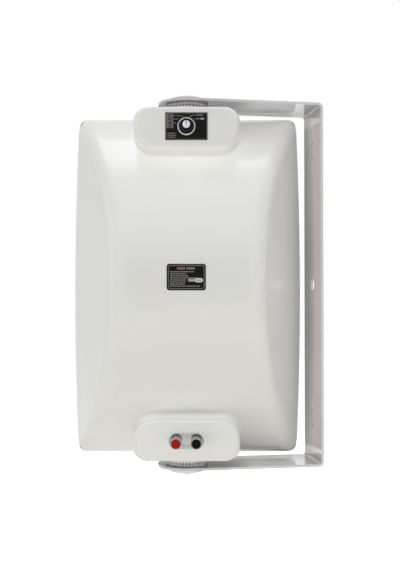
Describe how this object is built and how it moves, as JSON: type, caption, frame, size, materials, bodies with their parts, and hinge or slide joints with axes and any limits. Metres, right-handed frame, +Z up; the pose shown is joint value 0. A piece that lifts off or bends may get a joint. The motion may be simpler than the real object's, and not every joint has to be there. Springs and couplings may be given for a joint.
{
  "type": "wall loudspeaker",
  "caption": "Moulded wall loudspeaker with a crowned back, a transformer tap selector and binding posts, swivelling on a bent steel U-bracket with ratchet joints.",
  "frame": {"origin": "centre of the wall plate's middle hole on its wall-side face", "axes": "+Y into the wall, +Z up, arms towards -Y"},
  "size_m": [0.1585, 0.2423, 0.3764],
  "materials": {
    "cabinet_white": "satin moulded plastic",
    "bracket_paint": "gloss white paint",
    "knob_grey": "satin moulded plastic",
    "gasket_rubber": "matt",
    "grille_paint": "satin white paint",
    "plate_black": "satin with grey print",
    "dial_grey": "satin",
    "knob_black": "satin",
    "bright_metal": "spun",
    "chrome_posts": "bright plate",
    "red_plastic": "gloss",
    "black_plastic": "gloss",
    "steel": "zinc plated",
    "insert_brass": "turned",
    "basket_paint": "satin black",
    "cone_paper": "felted",
    "spider_cloth": "resin-dipped weave",
    "coil_copper": "enamelled copper wire",
    "pole_steel": "plated",
    "ferrite": "ground ferrite",
    "tweeter_black": "fine texture",
    "dome_cloth": "coated weave",
    "board": "paper laminate",
    "capacitor_film": "wrapped film"
  },
  "bodies": {
    "bracket": {"u_bracket": "bracket_paint", "arm_ratchet_top": "knob_grey", "arm_ratchet_bottom": "knob_grey"},
    "cabinet": {"rear_cabinet": "cabinet_white", "front_frame": "cabinet_white", "boss_ratchet_top": "knob_grey", "boss_ratchet_bottom": "knob_grey", "frame_gasket": "gasket_rubber", "woofer_surround": "gasket_rubber", "grille": "grille_paint", "tap_plate": "plate_black", "rear_label": "plate_black", "dial_ring": "dial_grey", "binding_post_red": "chrome_posts", "binding_post_black": "chrome_posts", "post_nuts": "chrome_posts", "tap_switch": "black_plastic", "case_screws": "steel", "woofer_screws": "steel", "tweeter_screws": "steel", "board_screws": "steel", "threaded_insert_top": "insert_brass", "threaded_insert_bottom": "insert_brass", "woofer_basket": "basket_paint", "woofer_spider": "spider_cloth", "transformer_winding": "coil_copper", "crossover_choke": "coil_copper", "front_pole_plate": "pole_steel", "pole_yoke": "pole_steel", "transformer_core": "pole_steel", "woofer_magnet": "ferrite", "tweeter_magnet": "ferrite", "tweeter_faceplate": "tweeter_black", "tweeter_dome": "dome_cloth", "crossover_board": "board", "crossover_capacitors": "capacitor_film"},
    "cone": {"woofer_cone": "cone_paper", "woofer_dust_cap": "cone_paper", "voice_coil": "coil_copper"},
    "tap": {"tap_knob": "knob_black", "tap_pointer": "bright_metal", "tap_shaft": "steel"},
    "red_cap": {"terminal_cap_red": "chrome_posts", "terminal_plug_red": "red_plastic"},
    "black_cap": {"terminal_cap_black": "chrome_posts", "terminal_plug_black": "black_plastic"},
    "top_knob": {"pivot_knob_top": "knob_grey", "pivot_screw_top": "steel", "pivot_washer_top": "steel"},
    "bottom_knob": {"pivot_knob_bottom": "knob_grey", "pivot_screw_bottom": "steel", "pivot_washer_bottom": "steel"}
  },
  "joints": [
    {"name": "swivel", "type": "hinge", "parent": "bracket", "child": "cabinet", "pos_m": [0, -0.13253, 0], "axis": [0, 0, 1], "range_deg": [0, 198.4]},
    {"name": "cone_travel", "type": "slide", "parent": "cabinet", "child": "cone", "axis": [-0.9871, 0.1599, 0], "range_m": [-0.004, 0.004], "stiffness_N_per_m": 2000, "deforming": ["woofer_surround", "woofer_spider"]},
    {"name": "tap_turn", "type": "hinge", "parent": "cabinet", "child": "tap", "pos_m": [0.03948, -0.13893, 0.15], "axis": [0.9871, -0.1599, 0], "range_deg": [-75, 75]},
    {"name": "red_cap_turn", "type": "hinge", "parent": "cabinet", "child": "red_cap", "pos_m": [0.0429, -0.14913, -0.15], "axis": [0.9871, -0.1599, 0], "continuous": true},
    {"name": "black_cap_turn", "type": "hinge", "parent": "cabinet", "child": "black_cap", "pos_m": [0.04594, -0.13032, -0.15], "axis": [0.9871, -0.1599, 0], "continuous": true},
    {"name": "top_knob_turn", "type": "hinge", "parent": "cabinet", "child": "top_knob", "pos_m": [0, -0.13253, 0.17], "axis": [0, 0, 1], "continuous": true},
    {"name": "bottom_knob_turn", "type": "hinge", "parent": "cabinet", "child": "bottom_knob", "pos_m": [0, -0.13253, -0.17], "axis": [0, 0, -1], "continuous": true}
  ]
}
